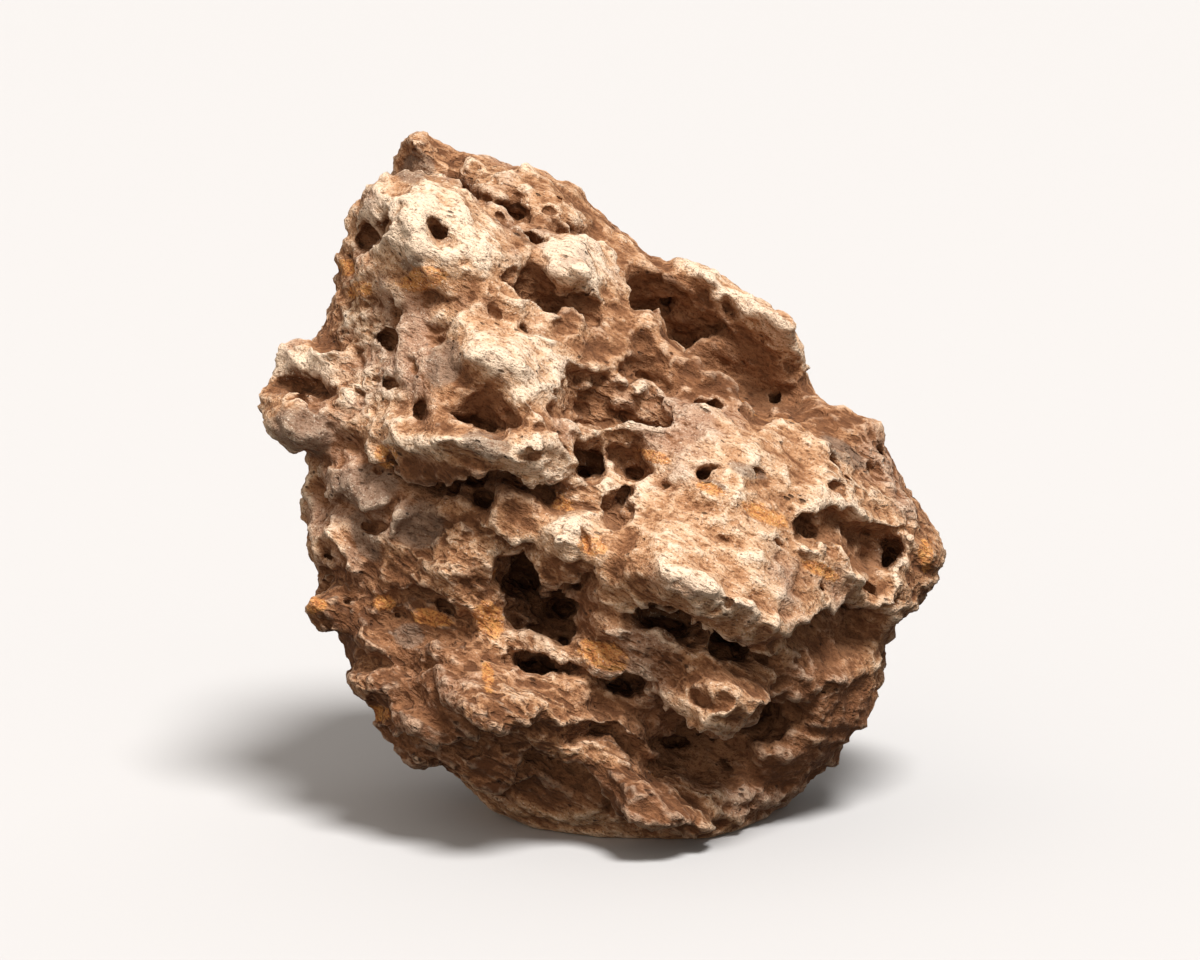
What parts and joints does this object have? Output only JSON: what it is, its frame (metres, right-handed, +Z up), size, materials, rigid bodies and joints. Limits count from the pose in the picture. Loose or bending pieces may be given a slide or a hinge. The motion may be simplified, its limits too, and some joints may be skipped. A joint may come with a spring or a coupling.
{
  "type": "dragon stone",
  "caption": "Weathered clay rock for aquascaping, with stacked ledges, scalloped hollows and deep pits along a slanting grain, leaning back on a flat foot.",
  "frame": {"origin": "on the flat foot, in the plane the stone rests on, under the middle of the face", "axes": "+X to the right as the face is looked at, +Y away from the face towards the back, +Z up"},
  "size_m": [0.1933, 0.1502, 0.1874],
  "materials": {
    "stone": "rough, dry, brown with pale cream crests and rust stains"
  },
  "bodies": {
    "root": {"stone": "stone"}
  },
  "joints": []
}
